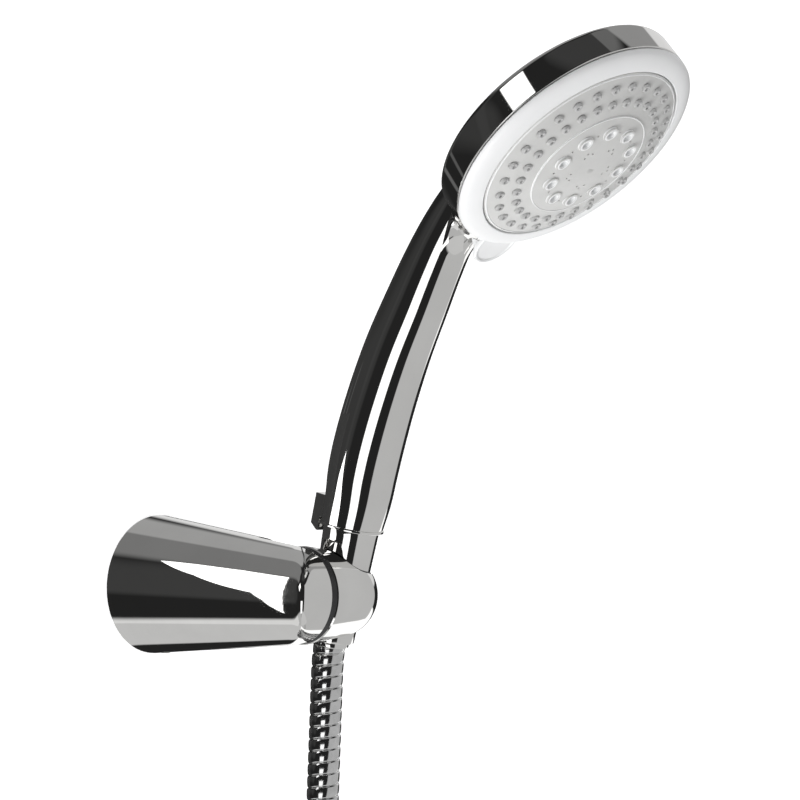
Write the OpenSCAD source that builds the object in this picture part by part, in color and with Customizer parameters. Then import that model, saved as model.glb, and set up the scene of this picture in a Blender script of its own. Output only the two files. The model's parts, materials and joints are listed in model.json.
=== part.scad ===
// Handheld shower head on a tilting wall bracket, with its metal hose.
// Millimetres. The wall is the plane Y = 0, the room is on -Y, X points right
// for someone who faces the wall, and Z is up. The origin is the centre of
// the bracket's flat wall face. "Out" is the distance from the wall, -Y.

/* [Bracket] */
// Radius of the bracket where it meets the wall
bracket_wall_r = 31; // [26:0.5:36]
// Radius of the bracket's round outer end
bracket_end_r = 21.3; // [19:0.1:24]
// Distance from the wall to the tilt axis
pivot_out = 87.5; // [75:0.5:105]
// Wall thickness of the hollow casting
casting_wall = 2.6; // [2:0.1:4]
// Height of the fixed cheek to the right of the bracket's middle
cheek_x = -1.2; // [-3:0.1:2]
// Distance between the two wall screws
screw_spacing = 32; // [24:1:40]
// Radius of each wall screw hole
screw_hole_r = 2.6; // [2:0.1:3.5]

/* [Holder] */
// Distance of the handset's axis to the right of the bracket's middle
socket_x = 26; // [22:0.5:32]
// Radius of the holder's ball end
ball_r = 18.6; // [17:0.1:21]
// Middle of the ball end, measured along the tilt axis
ball_x = 23.5; // [20:0.5:30]
// Lean of the handset away from the wall, degrees from upright
lean = 11.5; // [5:0.5:25]
// Turn of the handset in its socket, degrees
turn = 4; // [-10:0.5:10]
// Radius of the tilt bolt
bolt_r = 4; // [3:0.1:5]
// Width of the slot that lets the hose into the holder
slot_w = 16; // [15:0.5:18]
// Thickness of the holder's plastic liner
liner_wall = 1.2; // [0.8:0.1:2]

/* [Handset] */
// Radius of the cone nut at its top
nut_top_r = 12.3; // [11.9:0.1:13]
// Radius of the cone nut at its foot
nut_foot_r = 10.2; // [9.5:0.1:11]
// Thickness of the handle's wall
handle_wall = 2; // [1.6:0.1:3]
// Outer radius of the water tube in the handle
water_r = 5.5; // [4:0.1:6.5]

/* [Head] */
// Outer radius of the head's side band
head_r = 56.2; // [48:0.1:62]
// Height of the head's side band
band_h = 14; // [9:0.5:18]
// Height of the shallow dome behind the band
dome_h = 9.5; // [6:0.5:14]
// Thickness of the head's wall
head_wall = 2.2; // [1.8:0.1:3]
// How far the face looks below the horizontal, degrees
face_down = 47.5; // [30:0.5:70]
// Turn of the spray lever at rest, degrees from the handle
lever_turn = -3; // [-40:1:40]
// Radius of the lever's thumb tab
tab_r = 11; // [7:0.5:12]

/* [Spray face] */
// Nozzles in each of the two outer rings
ring_nozzles = 28; // [20:1:32]
// Radius of the outer nozzle ring
outer_ring_r = 40.6; // [37:0.1:42]
// Radius of the inner nozzle ring
inner_ring_r = 33.7; // [30:0.1:35]
// Massage jets in the centre plate
jets = 10; // [6:1:12]
// Radius of the ring of massage jets
jet_ring_r = 19.5; // [16:0.1:22]
// Height of the domed face's middle above the head's front rim
face_top = 13.4; // [8:0.2:16]
// Height of the domed face's edge above the head's front rim
face_edge = 5.2; // [3:0.2:7]

/* [Hose] */
// Outer radius of the metal hose
hose_r = 7.1; // [6:0.1:8]
// Radius of the hose's storage coil, at the middle of its turns
coil_r = 71; // [60:1:90]
// Whole turns in the storage coil
coil_turns = 3; // [1:1:5]

/* [Hidden] */
$fn = 64;

// Bracket
cone_slope = (bracket_wall_r - bracket_end_r) / pivot_out;
cone_length = pivot_out + 24;
wall_plate_r = bracket_wall_r - casting_wall - 1;
plate_h = 3.5;
rim_h = 10;
notch_out = pivot_out - 24;
core_out = notch_out - 5;
side_core_r = 7.5;
side_core_x = -12;
grub_out = 7;

// Holder, measured along the tilt axis from the bracket's middle
washer_h = 3.65;
holder_x = cheek_x + washer_h + 0.05;
web_x = holder_x + 4.6;
spring_h = 0.8;
bolt_head_x = web_x + spring_h + 0.02;
bolt_head_h = 2.7;
bolt_end_x = -14;
edge = 0.7;
run = 0.05;

// Cone nut and inlet, measured along the handset's axis from the tilt axis
nut_foot = -20;
nut_top = 31.3;
stem_seat = 4;
ferrule_top = -8;
flange_foot = -22.4;
inlet_w = 16;
thread_r = 10.2;
stem_r = 5.2;
bore_r = 4;
water_wall = 1.2;
spigot_top = 48;

// Handle stations: out, up, half width, half depth
handle_path = [
    [pivot_out + nut_top * sin(lean), nut_top * cos(lean), 13.6, 13.6],
    [97, 43, 14.6, 14.6],
    [99, 54, 15.1, 15.3],
    [102, 66, 15.2, 15.5],
    [108, 85, 14.9, 15.3],
    [116.5, 107, 14.4, 14.8],
    [126.5, 128, 13.7, 14],
    [135, 145, 13.2, 13],
    [142.5, 158, 13, 12],
    [151.5, 170.5, 13.4, 10.8],
    [162, 181.5, 14, 9],
    [174, 191.5, 14, 6.5],
    [186, 199, 12, 4]];
handle_sides = 32;
lug_w = 10;
lug_w0 = 25.5;
lug_h = 16;
lug_out = 18.9;
lug_step = nut_top + 0.3 - lug_w0;

// Head: its frame sits on the plane of the face ring
head_out = 205.5;
head_up = 192;
dome_sphere = (pow(head_r - 1.2, 2) + dome_h * dome_h) / (2 * dome_h);
port_t = 27;
base_low = -8;
base_top = -4.2;
gasket_h = 1;
chamber_r = 43.5;
chamber_low = base_top + gasket_h + 0.05;
floor_top = 0;
plate_low = 3;
plate_r = 46.6;
plate_t = 1.5;
centre_r = 27.5;
face_sphere = (plate_r * plate_r + pow(face_top - face_edge, 2))
    / (2 * (face_top - face_edge));
turbine_low = 6.8;
screw_ring_r = 47;
axle_r = 4;
pin_r = 2.25;
nipple_r = 1.85;
jet_r = 2.1;
collar_r = 3.5;
tab_out = head_r + 0.5;

// Water tube stations: out, up, half width, half depth
water_path = [
    [pivot_out + 40 * sin(lean), 40 * cos(lean), water_r, water_r],
    [99, 54, water_r, water_r],
    [102, 66, water_r, water_r],
    [108, 85, water_r, water_r],
    [116.5, 107, water_r, water_r],
    [126.5, 128, water_r, water_r],
    [135, 145, water_r, water_r],
    [142.5, 158, water_r, water_r],
    [150.5, 169.5, water_r, water_r],
    [157.5, 179, water_r, water_r],
    [165, 185.2, water_r, water_r],
    [173, 186.6, water_r, water_r],
    [177.8, 184.4, water_r, water_r],
    [head_side(port_t, -10).x, head_side(port_t, -10).y, water_r, water_r]];
water_sides = 12;

// Hose: it hangs from the nut and is wound in a coil that hangs below
hose_top = [pivot_out + flange_foot * sin(lean), flange_foot * cos(lean)];
hose_out = 82;
coil_up = -178;
coil_pitch = 14.4;
tail_out = hose_out - coil_turns * coil_pitch;
tail_foot = coil_up - 46;
hose_path = [
    [hose_top.x, hose_top.y, hose_r, hose_r],
    [82.4, -26, hose_r, hose_r],
    [82.1, -31, hose_r, hose_r],
    [hose_out, -37, hose_r, hose_r],
    [hose_out, -46, hose_r, hose_r],
    [hose_out, -58, hose_r, hose_r],
    [hose_out, -72, hose_r, hose_r],
    [hose_out, -86, hose_r, hose_r],
    [hose_out, -100, hose_r, hose_r],
    [hose_out, -116, hose_r, hose_r],
    [hose_out, -132, hose_r, hose_r],
    [hose_out, -148, hose_r, hose_r],
    [hose_out, -162, hose_r, hose_r],
    [hose_out, coil_up + 3, hose_r, hose_r]];
tail_path = [
    [tail_out, coil_up - 3, hose_r, hose_r],
    [tail_out, coil_up - 24, hose_r, hose_r],
    [tail_out, tail_foot, hose_r, hose_r]];
hose_sides = 12;

chrome = [0.80, 0.81, 0.83];
white = [0.95, 0.95, 0.95];
pale = [0.86, 0.87, 0.88];
dark = [0.10, 0.10, 0.11];
clear = [0.88, 0.90, 0.92];
brassy = [0.78, 0.62, 0.32];

// Frames
module wall_frame() rotate([90, 0, 0]) children();
module tilt_frame() translate([0, -pivot_out, 0]) rotate([0, 90, 0]) children();
module handset_frame()
    translate([socket_x, -pivot_out, 0]) rotate([lean, 0, 0]) children();
module turned() translate([socket_x, -pivot_out, 0]) rotate([lean, 0, 0])
    rotate([0, 0, turn]) rotate([-lean, 0, 0])
        translate([-socket_x, pivot_out, 0]) children();
module head_frame() turned()
    translate([socket_x, -head_out, head_up]) rotate([90 + face_down, 0, 0]) children();
module coil_frame()
    translate([socket_x + coil_r, 0, coil_up]) rotate([90, 0, 0]) children();

// Out and up of a point on the head's middle plane: t towards the handle, n out of the face
function head_side(t, n) = [
    head_out - t * sin(face_down) + n * cos(face_down),
    head_up - t * cos(face_down) - n * sin(face_down)];

// Swept tubes: a station is [out, up, half width, half depth]
function way(path, i) =
    let (a = path[max(i - 1, 0)], b = path[min(i + 1, len(path) - 1)],
         d = [b.x - a.x, b.y - a.y])
    d / norm(d);
function ring(p, d, sides, inset) = [
    for (k = [0 : sides - 1]) let (
        a = 360 * k / sides,
        w = (p[2] - inset) * cos(a),
        h = (p[3] - inset) * sin(a))
    [socket_x + w, -(p.x + h * d.y), p.y - h * d.x]];
function rings(path, first, sides, inset) = [
    for (i = [0 : len(path) - 1])
    each ring(path[i], i == 0 ? first : way(path, i), sides, inset)];
function tube_faces(count, sides) = [
    for (i = [0 : count - 2], k = [0 : sides - 1])
    let (a = i * sides + k, b = i * sides + (k + 1) % sides)
    each [[a, b, b + sides], [a, b + sides, a + sides]]];
module swept(path, first, sides, inset = 0) {
    count = len(path);
    polyhedron(
        points = rings(path, first, sides, inset),
        faces = concat(
            [[for (k = [sides - 1 : -1 : 0]) k]],
            tube_faces(count, sides),
            [[for (k = [0 : sides - 1]) (count - 1) * sides + k]]));
}

module disc(r, low, high) translate([0, 0, low]) cylinder(h = high - low, r = r);
module washer(r, bore, low, high) difference() {
    disc(r, low, high);
    disc(bore, low - 1, high + 1);
}

// Bracket
module wall_plate() color(pale) wall_frame() difference() {
    disc(wall_plate_r, 0, rim_h);
    disc(wall_plate_r - casting_wall, plate_h, rim_h + 1);
    for (side = [-1, 1])
        translate([side * screw_spacing / 2, 0, -1])
            cylinder(h = plate_h + 2, r = screw_hole_r);
}

module bracket_cone() color(chrome) wall_frame() difference() {
    intersection() {
        cylinder(h = cone_length, r1 = bracket_wall_r,
            r2 = bracket_wall_r - cone_slope * cone_length, $fn = 96);
        union() {
            translate([-40, -40, 0]) cube([80, 80, pivot_out + 1]);
            translate([-40, 0, pivot_out]) rotate([0, 90, 0])
                cylinder(h = 80, r = bracket_end_r, $fn = 96);
        }
    }
    translate([0, 0, -1])
        cylinder(h = core_out + 1, r1 = bracket_wall_r - casting_wall + cone_slope,
            r2 = bracket_wall_r - casting_wall - cone_slope * core_out);
    translate([side_core_x, 0, core_out - 1])
        cylinder(h = pivot_out - 9 - core_out, r = side_core_r);
    translate([cheek_x, -40, notch_out]) cube([80, 80, 80]);
    translate([bolt_end_x, 0, pivot_out]) rotate([0, 90, 0])
        cylinder(h = 40, r = bolt_r);
    translate([0, -wall_plate_r, grub_out]) rotate([90, 0, 0])
        cylinder(h = 10, r = 2);
}

module grub_screw() color(dark) wall_frame()
    translate([0, -wall_plate_r, grub_out]) rotate([90, 0, 0]) difference() {
        cylinder(h = 3, r = 2);
        translate([0, 0, 1.2]) cylinder(h = 4, r = 1, $fn = 6);
    }

module pivot_bolt() color(chrome) tilt_frame() difference() {
    union() {
        disc(bolt_r, bolt_end_x, bolt_head_x + 1);
        disc(6, bolt_head_x, bolt_head_x + bolt_head_h);
    }
    translate([0, 0, bolt_head_x + 0.7]) cylinder(h = 4, r = 2.6, $fn = 6);
}

module friction_washer() color(dark) tilt_frame()
    washer(bracket_end_r - 0.4, bolt_r + 0.1, cheek_x, cheek_x + washer_h);

module spring_washer() color(chrome) tilt_frame()
    washer(6.5, bolt_r + 0.1, web_x + 0.01, web_x + spring_h);

// Holder
module ball_end(inset = 0) {
    turn = [for (a = [8 : 8.2 : 90]) [
        (ball_r - inset) * cos(a), ball_x + (ball_r - inset) * sin(a)]];
    rotate_extrude($fn = 96) polygon(concat(
        [[0, holder_x], [bracket_end_r - edge - inset, holder_x],
            [bracket_end_r - inset, holder_x + edge]],
        turn, [[0, ball_x + ball_r - inset]]));
}
function nut_r(w) =
    nut_foot_r + (w - nut_foot) * (nut_top_r - nut_foot_r) / (nut_top - nut_foot);
module nut_cone(low, high, extra) translate([0, 0, low])
    cylinder(h = high - low, r1 = nut_r(low) + extra, r2 = nut_r(high) + extra);
module hose_slot() translate([0, -slot_w / 2, -40]) cube([40, slot_w, 80]);

module holder_body() color(chrome) difference() {
    tilt_frame() ball_end();
    handset_frame() nut_cone(-30, 30, run + liner_wall);
    handset_frame() hose_slot();
    tilt_frame() disc(bolt_r + run, 0, web_x + 1);
    tilt_frame() disc(7.2, web_x, socket_x - nut_foot_r);
}

module holder_liner() color(dark) difference() {
    intersection() {
        handset_frame() difference() {
            nut_cone(-17, 17, run + liner_wall);
            nut_cone(-18, 18, run);
        }
        tilt_frame() ball_end(0.4);
    }
    handset_frame() hose_slot();
}

// Hose end in the nut
module hose_stem() color(brassy) handset_frame() difference() {
    union() {
        disc(stem_r, nut_foot, stem_seat + 0.1);
        disc(9.3, stem_seat + 0.1, inlet_w - 2.05);
    }
    disc(bore_r, nut_foot - 1, inlet_w);
}

module top_ferrule() color(chrome) handset_frame() difference() {
    union() {
        disc(7.2, nut_foot - 0.2, ferrule_top);
        disc(8.2, flange_foot, nut_foot - 0.2);
    }
    disc(stem_r, nut_foot, ferrule_top + 1);
    disc(bore_r, flange_foot - 1, nut_foot + 1);
}

// Handset inlet
module cone_nut() color(chrome) handset_frame() difference() {
    nut_cone(nut_foot, nut_top, 0);
    disc(7.45, nut_foot - 1, ferrule_top + 0.2);
    disc(stem_r + 0.3, nut_foot - 1, stem_seat + 1);
    disc(9.6, stem_seat, inlet_w);
    disc(thread_r, inlet_w - 0.01, nut_top + 1);
}

module inlet_washer() color(dark) handset_frame()
    washer(9.5, 5, inlet_w - 2, inlet_w);

module strainer() color(clear) handset_frame() difference() {
    disc(6.4, inlet_w + 0.4, inlet_w + 1.4);
    for (row = [1, 2], k = [0 : 6 * row - 1])
        rotate([0, 0, 60 * k / row]) translate([2.2 * row, 0, inlet_w])
            cylinder(h = 3, r = 0.7, $fn = 16);
    translate([0, 0, inlet_w]) cylinder(h = 3, r = 0.7, $fn = 16);
}

module flow_restrictor() color(white) handset_frame()
    washer(6.4, 1.8, inlet_w + 2, inlet_w + 8);

module inlet_spigot() color(white) handset_frame() difference() {
    union() {
        disc(thread_r, inlet_w, nut_top + 0.5);
        disc(11.5, nut_top + 0.2, nut_top + 4);
        disc(8, nut_top + 3, spigot_top);
    }
    disc(6.4, inlet_w - 1, nut_top);
    disc(water_r - water_wall, nut_top - 1, 40);
    disc(water_r + run, 40, spigot_top + 1);
    disc(water_r + 1.9, 43.1, 44.9);
}

module lip_ring() color(chrome) handset_frame()
    washer(14.1, nut_top_r + 0.15, nut_top - 1.3, nut_top);

module handle_form(inset) turned()
    swept(handle_path, [sin(lean), cos(lean)], handle_sides, inset);
module water_form(inset = 0) turned()
    swept(water_path, [sin(lean), cos(lean)], water_sides, inset);

module handle_shell() color(chrome) difference() {
    handle_form(0);
    handle_form(handle_wall);
    head_frame() head_form();
}

module rear_lug() color(chrome) difference() {
    turned() handset_frame() translate([-lug_w / 2, 0, lug_w0])
        rotate([90, 0, 90]) linear_extrude(height = lug_w) polygon([
            [11, lug_step], [11, lug_h], [lug_out, lug_h], [lug_out, 2.5],
            [lug_out - 3.5, 0], [14.5, 0], [14.5, lug_step]]);
    handle_form(0);
}

module water_tube() color(clear) difference() {
    water_form();
    water_form(water_wall);
}

module tube_seal() color(dark) handset_frame() translate([0, 0, 44])
    rotate_extrude() translate([water_r + run + 0.9, 0]) circle(r = 0.85, $fn = 24);

// Head
function dome_z(r) = -band_h - sqrt(dome_sphere * dome_sphere - r * r)
    + (dome_sphere - dome_h);
module head_form(inset = 0) rotate_extrude($fn = 128) polygon(concat(
    [[0, inset], [head_r - inset, inset], [head_r - inset, -band_h + 1.2]],
    [for (r = [head_r - 1.2 - inset : -6 : 0]) [r, dome_z(r) + inset]],
    [[0, dome_z(0) + inset]]));

module head_shell() color(chrome) difference() {
    head_frame() union() {
        difference() {
            head_form();
            head_form(head_wall);
            disc(head_r - head_wall, -2, 1);
        }
        for (k = [0 : 2])
            rotate([0, 0, 90 + 120 * k])
                translate([screw_ring_r, 0, dome_z(screw_ring_r) + 1])
                    cylinder(h = base_low - dome_z(screw_ring_r) - 1, r = 3.4);
    }
    handle_form(handle_wall + 0.6);
    water_form(-0.3);
    head_frame() for (k = [0 : 2])
        rotate([0, 0, 90 + 120 * k]) translate([screw_ring_r, 0, -12.5])
            cylinder(h = 8, r = 1.5);
}

module diverter_base() color(clear) difference() {
    head_frame() difference() {
        union() {
            disc(head_r - head_wall - 0.3, base_low, base_top);
            translate([0, -port_t, -13]) cylinder(h = 6, r = 7.5);
        }
        translate([0, -port_t, -14]) cylinder(h = 12, r = water_r + run);
        disc(axle_r, base_low - 1, base_top + 1);
        for (k = [0 : 2])
            rotate([0, 0, 90 + 120 * k]) translate([screw_ring_r, 0, base_low - 1])
                cylinder(h = 8, r = 1.6);
    }
    water_form(-0.3);
}

module diverter_gasket() color(dark) head_frame() difference() {
    washer(40, axle_r + 0.3, base_top, base_top + gasket_h);
    translate([0, -port_t, -6]) cylinder(h = 6, r = water_r);
}

module head_screws() color(brassy) head_frame() for (k = [0 : 2])
    rotate([0, 0, 90 + 120 * k]) translate([screw_ring_r, 0, 0]) difference() {
        union() {
            disc(1.5, -12.5, base_top + 0.5);
            disc(2.8, base_top, base_top + 1.8);
        }
        translate([-3, -0.3, base_top + 1]) cube([6, 0.6, 2]);
    }

module face_axle() color(brassy) head_frame() difference() {
    union() {
        disc(7, base_low - 1.8, base_low);
        disc(axle_r, base_low - 1, floor_top - 0.05);
    }
    disc(1.8, -9, 1);
}

// Spray face
function face_z(r) = face_top - face_sphere + sqrt(face_sphere * face_sphere - r * r);
module face_dome(inset = 0) intersection() {
    translate([0, 0, face_top - face_sphere]) sphere(r = face_sphere - inset, $fn = 256);
    disc(60, -4, 20);
}

module face_chamber() color(clear) head_frame() difference() {
    union() {
        disc(chamber_r, chamber_low, floor_top);
        washer(chamber_r, 42, floor_top - 1, plate_low);
        intersection() {
            washer(30.3, centre_r + 0.2, floor_top - 1, face_top);
            face_dome(plate_t);
        }
    }
    disc(axle_r + run, chamber_low - 1, floor_top + 1);
    for (k = [0 : 2])
        rotate([0, 0, 45 * k - 135]) translate([port_t - 8 + 8 * k, 0, -5])
            cylinder(h = 7, r = 2.2);
}

module face_seal() color(dark) head_frame() washer(44.9, chamber_r, -1.6, -0.2);

module face_screw() color(brassy) head_frame() difference() {
    union() {
        disc(1.8, -8.5, floor_top + 1);
        disc(6, floor_top + 0.02, floor_top + 1.5);
    }
    translate([-4, -0.4, floor_top + 0.9]) cube([8, 0.8, 2]);
}

module selector_ring() color(white) head_frame() difference() {
    union() {
        rotate_extrude($fn = 128) polygon([[44, -2], [50.5, -2], [50.5, 0.3],
            [head_r - 0.6, 0.3], [head_r - 0.1, 0.9], [head_r - 0.2, 1.9],
            [head_r - 0.8, 2.9], [head_r - 2, 3.8], [head_r - 4, 4.6],
            [head_r - 6.5, 5.2], [plate_r + 0.9, 5.5], [plate_r, face_edge - 0.1],
            [44, face_edge - 0.1]]);
        rotate([0, 0, -lever_turn]) thumb_lever();
    }
    disc(plate_r, -3, 7);
}

module thumb_lever() {
    translate([0, -tab_out, 0.6]) cylinder(h = 2.4, r = tab_r);
    for (side = [-1, 1])
        translate([side * (tab_r - 1.8) - 0.7, -tab_out, 0]) rotate([90, 0, 90])
            linear_extrude(height = 1.4)
                polygon([[4, 0.7], [-4.5, 0.7], [-2.4, -3.4], [-0.5, 0.4], [4, 0.5]]);
}

module nozzle_ring(ring_r, r, low, high)
    for (k = [0 : ring_nozzles - 1]) rotate([0, 0, 360 * k / ring_nozzles - 90])
        translate([ring_r, 0, low]) cylinder(h = high - low, r = r, $fn = 20);
module nozzles(r, low, above) {
    nozzle_ring(outer_ring_r, r, low, face_z(outer_ring_r) + above);
    nozzle_ring(inner_ring_r, r, low, face_z(inner_ring_r) + above);
}

module nozzle_plate() color(pale) head_frame() difference() {
    intersection() {
        face_dome();
        disc(plate_r, plate_low, 20);
    }
    difference() {
        face_dome(plate_t);
        washer(60, plate_r - 1.5, -5, 20);
    }
    disc(centre_r + 0.1, 0, 20);
    nozzles(nipple_r + 0.1, 0, 3);
}

module nozzle_mat() color(white) head_frame() difference() {
    union() {
        intersection() {
            washer(43.2, 30.5, 0, 20);
            difference() {
                face_dome(plate_t);
                face_dome(plate_t + 1.3);
            }
        }
        nozzles(nipple_r, 4, 1);
    }
    nozzles(0.5, 0, 2);
}

module centre_plate() color(pale) head_frame() difference() {
    union() {
        intersection() {
            face_dome(-0.4);
            disc(centre_r, turbine_low + 3, 20);
        }
        disc(pin_r, turbine_low, face_top - 1);
        for (k = [0 : jets - 1]) rotate([0, 0, 360 * (k + 0.5) / jets - 90])
            translate([jet_ring_r, 0, 10]) cylinder(h = face_z(jet_ring_r) - 8.6, r = collar_r);
    }
    difference() {
        disc(centre_r - 1.6, turbine_low + 2, face_top - 2.6);
        disc(pin_r, 0, 20);
    }
    for (k = [0 : jets - 1]) rotate([0, 0, 360 * (k + 0.5) / jets - 90]) {
        translate([jet_ring_r, 0, 5]) cylinder(h = 12, r = jet_r, $fn = 32);
        rotate([0, 0, 180 / jets]) translate([jet_ring_r + 0.5, 0, 5])
            cylinder(h = 12, r = 0.5, $fn = 16);
    }
    for (k = [0 : 4], j = [-1 : 1]) rotate([0, 0, 72 * k + 11 * j])
        translate([10.5 + (j == 0 ? 1.4 : 0), 0, 5])
            cylinder(h = 12, r = 0.5, $fn = 16);
}

module massage_turbine() color(white) head_frame() difference() {
    union() {
        disc(5, turbine_low, turbine_low + 2.2);
        washer(22, 19.5, turbine_low + 0.2, turbine_low + 1.8);
        for (k = [0 : 5]) rotate([0, 0, 60 * k])
            translate([2, -1, turbine_low + 0.2]) cube([18.5, 2, 1.6]);
    }
    disc(pin_r + run, 0, 12);
}

// Hose
module hose_tube() color(chrome)
    swept(hose_path, [-sin(lean), -cos(lean)], hose_sides);
module hose_tail() color(chrome) swept(tail_path, [0, -1], hose_sides);

module hose_coil() color(chrome) coil_frame() rotate_extrude($fn = 96)
    translate([coil_r, 0]) {
        for (k = [0 : coil_turns])
            translate([0, tail_out + k * coil_pitch]) circle(r = hose_r, $fn = 32);
        translate([-hose_r * 0.75, tail_out])
            square([hose_r * 1.5, coil_turns * coil_pitch]);
    }

module hose_tie() color(dark) coil_frame()
    translate([-5, -coil_r - hose_r - 2, tail_out - hose_r - 2]) difference() {
        cube([10, 2 * hose_r + 5, coil_turns * coil_pitch + 2 * hose_r + 4]);
        translate([-1, 1.2, 1.2])
            cube([12, 2 * hose_r + 2.6, coil_turns * coil_pitch + 2 * hose_r + 1.6]);
    }

module tail_frame() translate([socket_x, -tail_out, tail_foot]) mirror([0, 0, 1]) children();
module far_ferrule() color(chrome) tail_frame() washer(8, 5.2, 0, 13);
module far_stem() color(brassy) tail_frame() difference() {
    union() {
        disc(5.2, 0, 14);
        disc(9.2, 14, 16.5);
    }
    disc(bore_r, -1, 18);
}
module far_nut() color(chrome) tail_frame() difference() {
    union() {
        translate([0, 0, 12 + 1.5]) cylinder(h = 12, r = 13.6, $fn = 6);
        disc(11.6, 25, 27);
    }
    disc(9.25, 13, 16.6);
    disc(5.5, 10, 28);
    disc(thread_r + 0.6, 16.6, 18.8);
    disc(thread_r, 18.8, 28);
}
module far_washer() color(dark) tail_frame() washer(9.8, 5.4, 16.6, 18.6);

wall_plate();
bracket_cone();
grub_screw();
pivot_bolt();
friction_washer();
spring_washer();
holder_body();
holder_liner();
hose_stem();
top_ferrule();
cone_nut();
inlet_washer();
strainer();
flow_restrictor();
inlet_spigot();
lip_ring();
handle_shell();
rear_lug();
water_tube();
tube_seal();
head_shell();
diverter_base();
diverter_gasket();
head_screws();
face_axle();
face_chamber();
face_seal();
face_screw();
selector_ring();
nozzle_plate();
nozzle_mat();
centre_plate();
massage_turbine();
hose_tube();
hose_coil();
hose_tail();
hose_tie();
far_ferrule();
far_stem();
far_nut();
far_washer();
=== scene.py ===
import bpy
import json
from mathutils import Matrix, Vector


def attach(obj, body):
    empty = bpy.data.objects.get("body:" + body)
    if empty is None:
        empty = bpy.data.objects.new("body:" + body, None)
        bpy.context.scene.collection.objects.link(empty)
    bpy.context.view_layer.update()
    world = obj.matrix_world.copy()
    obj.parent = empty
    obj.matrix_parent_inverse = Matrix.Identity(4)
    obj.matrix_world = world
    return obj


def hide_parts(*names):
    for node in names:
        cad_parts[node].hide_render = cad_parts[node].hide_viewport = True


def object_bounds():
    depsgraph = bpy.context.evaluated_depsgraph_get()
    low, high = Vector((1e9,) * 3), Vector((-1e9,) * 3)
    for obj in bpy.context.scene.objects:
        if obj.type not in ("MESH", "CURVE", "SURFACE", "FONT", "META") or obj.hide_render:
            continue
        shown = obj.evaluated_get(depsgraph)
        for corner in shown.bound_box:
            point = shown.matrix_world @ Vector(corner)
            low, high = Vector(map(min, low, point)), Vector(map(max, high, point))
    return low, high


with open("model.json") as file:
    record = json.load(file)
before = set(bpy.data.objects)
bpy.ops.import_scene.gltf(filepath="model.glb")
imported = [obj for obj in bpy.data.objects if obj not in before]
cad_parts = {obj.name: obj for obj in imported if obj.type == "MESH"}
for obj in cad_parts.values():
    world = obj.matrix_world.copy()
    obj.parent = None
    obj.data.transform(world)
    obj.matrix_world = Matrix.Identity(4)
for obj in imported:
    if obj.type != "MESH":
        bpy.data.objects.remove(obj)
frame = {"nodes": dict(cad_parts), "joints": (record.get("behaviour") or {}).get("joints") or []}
cad_box = [list(v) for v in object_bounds()]

import json
import math
import bpy
import bmesh
from mathutils import Matrix, Vector

nodes = frame["nodes"]
joints = {j["name"]: j for j in frame["joints"]}
MM = 0.001


# Camera
CAM_RIGHT = Vector((0.66571778, -0.74538725, 0.03489519))
CAM_UP = Vector((-0.03496394, 0.01555368, 0.99926753))
CAM_BACK = Vector((-0.74538403, -0.66645024, -0.01570732))
CAM_AT = Vector((-0.93429, -0.97775, 0.06521))
cam_data = bpy.data.cameras.new("camera")
cam_data.sensor_width = 36
cam_data.lens = 135
cam_data.clip_start = 0.05
cam_data.clip_end = 40
camera = bpy.data.objects.new("camera", cam_data)
bpy.context.scene.collection.objects.link(camera)
camera.matrix_world = Matrix((
    (CAM_RIGHT.x, CAM_UP.x, CAM_BACK.x, CAM_AT.x),
    (CAM_RIGHT.y, CAM_UP.y, CAM_BACK.y, CAM_AT.y),
    (CAM_RIGHT.z, CAM_UP.z, CAM_BACK.z, CAM_AT.z),
    (0, 0, 0, 1)))
bpy.context.scene.camera = camera
bpy.context.scene.view_settings.view_transform = "Standard"


def frame_of(origin, x, y, z):
    """Local millimetres along x, y and z to the shared frame in metres."""
    m = Matrix.Identity(4)
    for row in range(3):
        m[row][0], m[row][1], m[row][2] = x[row] * MM, y[row] * MM, z[row] * MM
        m[row][3] = origin[row]
    return m


# Frames: the handset leans out of its holder and sits in it with a small turn
LEAN, SOCKET_TURN = math.radians(11.5), math.radians(4)
HEAD_AT = Vector(joints["spray_select"]["pos_m"])
HEAD_N = Vector(joints["spray_select"]["axis"]).normalized()
TILT_AT = Vector(joints["handset_twist"]["pos_m"])
HAND_AXIS = Vector((0, -math.sin(LEAN), math.cos(LEAN)))
X, Y, Z = Vector((1, 0, 0)), Vector((0, 1, 0)), Vector((0, 0, 1))
TURN = Matrix.Rotation(SOCKET_TURN, 3, HAND_AXIS)
HEAD_X = TURN @ X
HEAD = frame_of(HEAD_AT, HEAD_X, HEAD_N.cross(HEAD_X), HEAD_N)
HANDSET = frame_of(TILT_AT, X, HAND_AXIS.cross(X), HAND_AXIS)
HOLDER = frame_of((0, TILT_AT.y, TILT_AT.z), -Z, Y, X)
SOCKET_X = TILT_AT.x / MM
PIVOT_OUT = -TILT_AT.y / MM


# Mesh helpers
def piece(name, verts, faces, body, slot, sharp=None):
    """A visible piece on its body. sharp is the angle in degrees from which an edge stays crisp."""
    mesh = bpy.data.meshes.new(name)
    mesh.from_pydata([tuple(v) for v in verts], [], faces)
    mesh.validate()
    bm = bmesh.new()
    bm.from_mesh(mesh)
    bmesh.ops.remove_doubles(bm, verts=bm.verts, dist=1e-7)
    bmesh.ops.recalc_face_normals(bm, faces=bm.faces)
    bm.to_mesh(mesh)
    bm.free()
    mesh.polygons.foreach_set("use_smooth", [True] * len(mesh.polygons))
    if sharp:
        mesh.set_sharp_from_angle(angle=math.radians(sharp))
    obj = bpy.data.objects.new(name, mesh)
    bpy.context.scene.collection.objects.link(obj)
    mesh.materials.append(MATS[slot])
    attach(obj, body)
    return obj


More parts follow.
